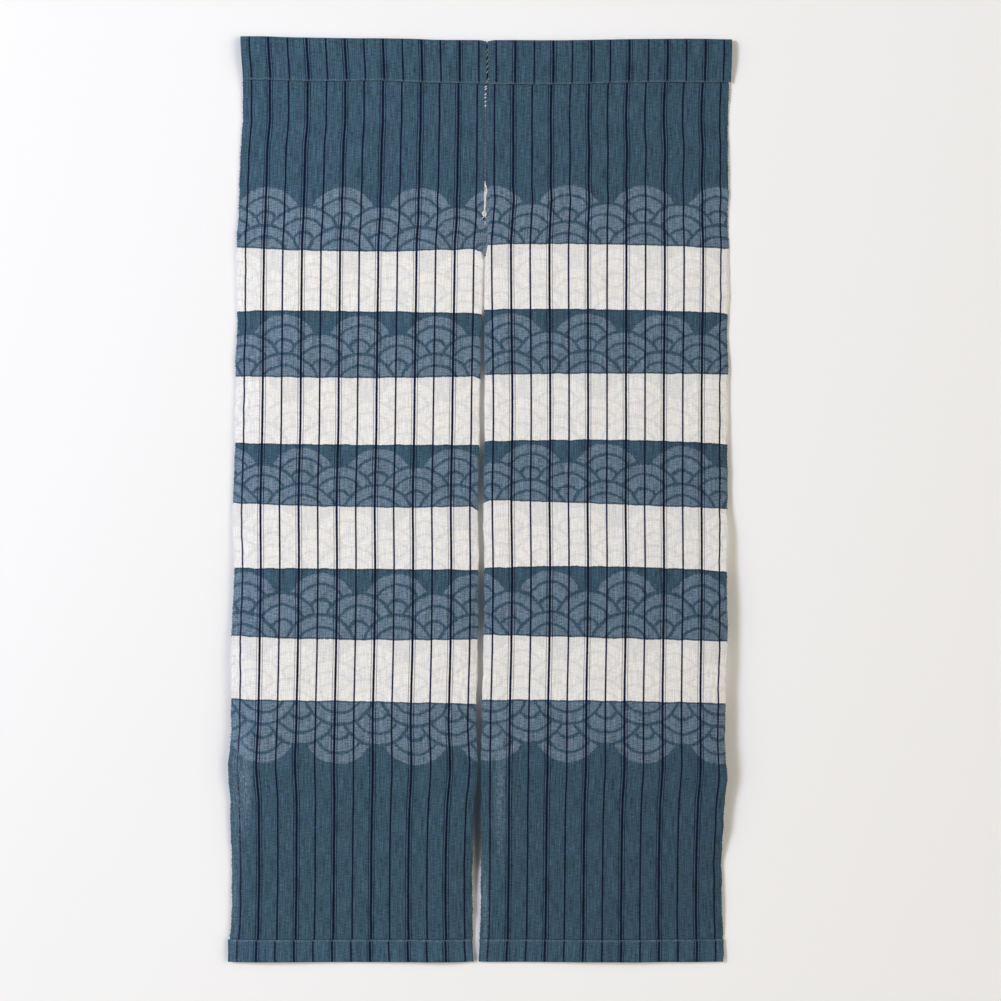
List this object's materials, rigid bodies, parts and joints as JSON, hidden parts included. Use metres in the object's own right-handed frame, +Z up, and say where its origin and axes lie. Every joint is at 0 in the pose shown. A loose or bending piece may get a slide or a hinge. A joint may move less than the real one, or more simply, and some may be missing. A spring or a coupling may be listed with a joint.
{
  "type": "noren curtain",
  "caption": "Split door curtain of two hanging cotton panels, sewn together at the top and open below, with a turned-over rod pocket and a turned-up hem.",
  "frame": {"origin": "middle of the top edge, at the join of the two panels", "axes": "+Z up along the hanging cloth, +X to the right of a viewer who faces the side with the turned hems, +Y away from that viewer"},
  "size_m": [0.8176, 0.0334, 1.5001],
  "materials": {
    "cotton": "hand-dyed indigo and white plain-weave cotton with dark warp stripes, matt"
  },
  "bodies": {
    "root": {"panel_left": "cotton", "panel_right": "cotton"}
  },
  "joints": []
}
